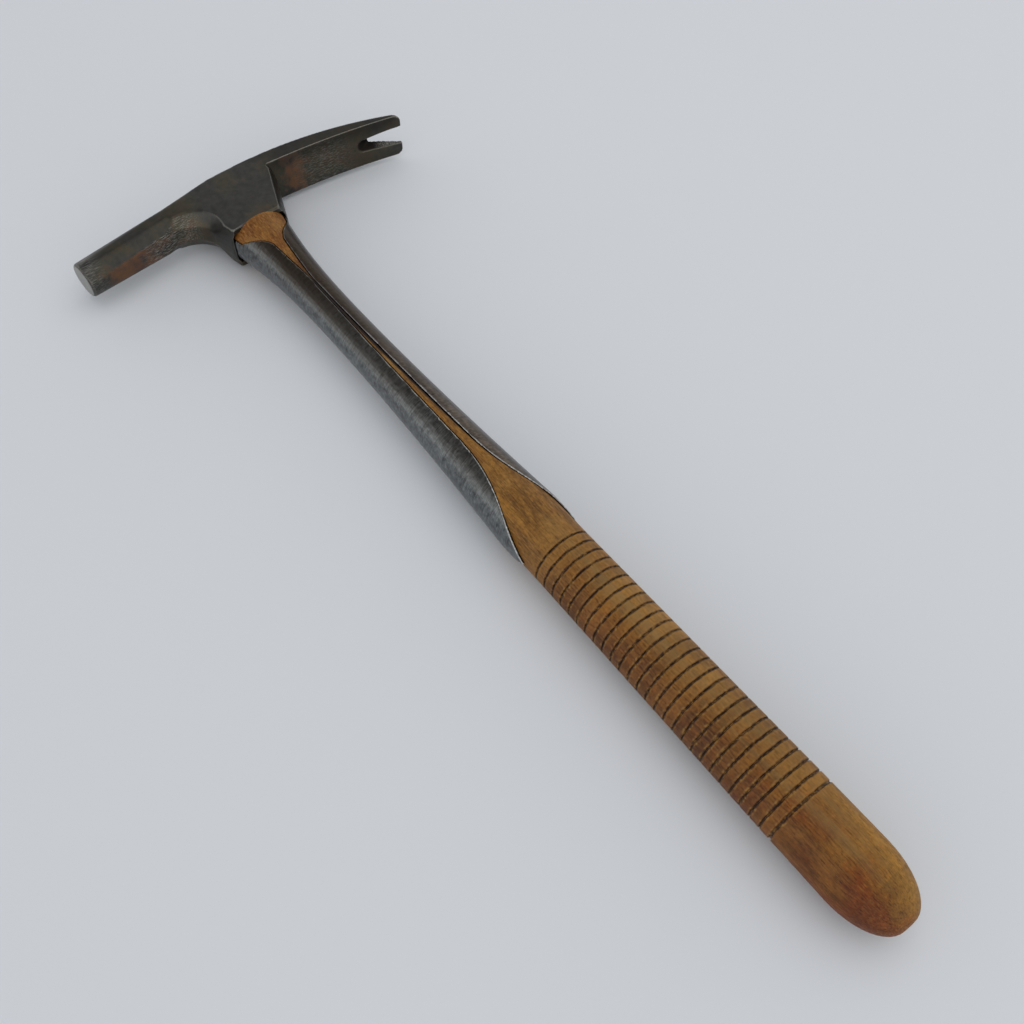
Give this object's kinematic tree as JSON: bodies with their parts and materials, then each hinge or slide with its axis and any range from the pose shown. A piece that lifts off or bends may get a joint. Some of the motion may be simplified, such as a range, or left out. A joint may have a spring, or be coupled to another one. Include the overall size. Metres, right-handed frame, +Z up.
{
  "type": "upholstery hammer",
  "caption": "Upholstery tack hammer with a slim round-faced poll, a slotted nail claw and a turned wooden handle held by two steel straps; for driving and lifting tacks.",
  "frame": {"origin": "on the head's lower cheek, under the middle of the eye where the handle's axis meets it", "axes": "+X along the handle from the butt to the crown of the head, +Y towards the striking face, +Z up, square to the cheeks; the hammer lies on its side, resting on its butt and the swell of its neck 1.7 mm below the origin"},
  "size_m": [0.2846, 0.114, 0.019],
  "materials": {
    "head_steel": "old forged steel with a dark olive-brown skin, worn edges and patches of rust",
    "handle_wood": "open-pored amber hardwood, worn smooth by the hand, with dark grooves",
    "face_strap_steel": "blue-grey steel with fine marks across it",
    "claw_strap_steel": "browned steel with bright edges",
    "wedge_wood": "pale end grain",
    "wedge_steel": "plain dull steel"
  },
  "bodies": {
    "root": {"head": "head_steel", "handle": "handle_wood", "face_strap": "face_strap_steel", "claw_strap": "claw_strap_steel", "wooden_wedge": "wedge_wood", "steel_wedge": "wedge_steel"}
  },
  "joints": []
}
